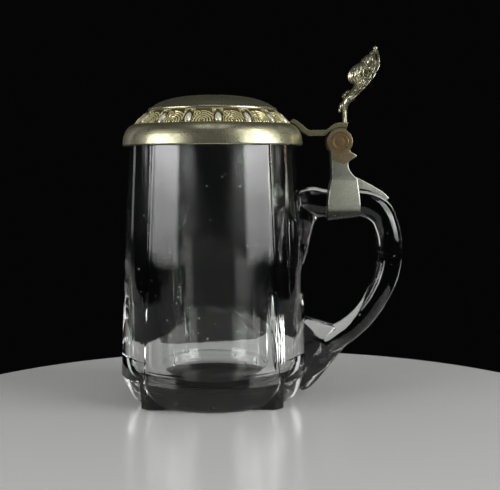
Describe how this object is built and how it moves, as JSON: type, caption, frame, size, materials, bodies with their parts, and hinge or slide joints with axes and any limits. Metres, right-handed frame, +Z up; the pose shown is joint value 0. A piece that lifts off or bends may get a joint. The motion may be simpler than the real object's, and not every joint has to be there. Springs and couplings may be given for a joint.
{
  "type": "lidded glass stein",
  "caption": "Heavy round glass beer mug with corner ribs, a side handle and a hinged pewter lid with a shell-shaped thumb lift.",
  "frame": {"origin": "centre of the mug's base, on the plane it stands on", "axes": "+Z up the mug's axis, +X toward the handle, so the lid's hinge axis lies along Y"},
  "size_m": [0.1624, 0.1074, 0.2018],
  "materials": {
    "clear_glass": "clear pressed glass, fire polished",
    "lid_pewter": "satin pewter, dull in the ornament",
    "strap_pewter": "dull grey pewter",
    "lift_pewter": "bright cast pewter, dark in the hollows",
    "hinge_metal": "tarnished red brown"
  },
  "bodies": {
    "mug": {"glass_body": "clear_glass", "glass_handle": "clear_glass", "handle_strap": "strap_pewter", "hinge_pin": "hinge_metal", "hinge_cap_front": "hinge_metal", "hinge_cap_rear": "hinge_metal"},
    "lid": {"lid": "lid_pewter", "lid_arm": "lid_pewter", "thumb_lift": "lift_pewter"}
  },
  "joints": [
    {"name": "lid_hinge", "type": "hinge", "parent": "mug", "child": "lid", "pos_m": [0.072, 0, 0.1461], "axis": [0, 1, 0], "range_deg": [0, 95]}
  ]
}
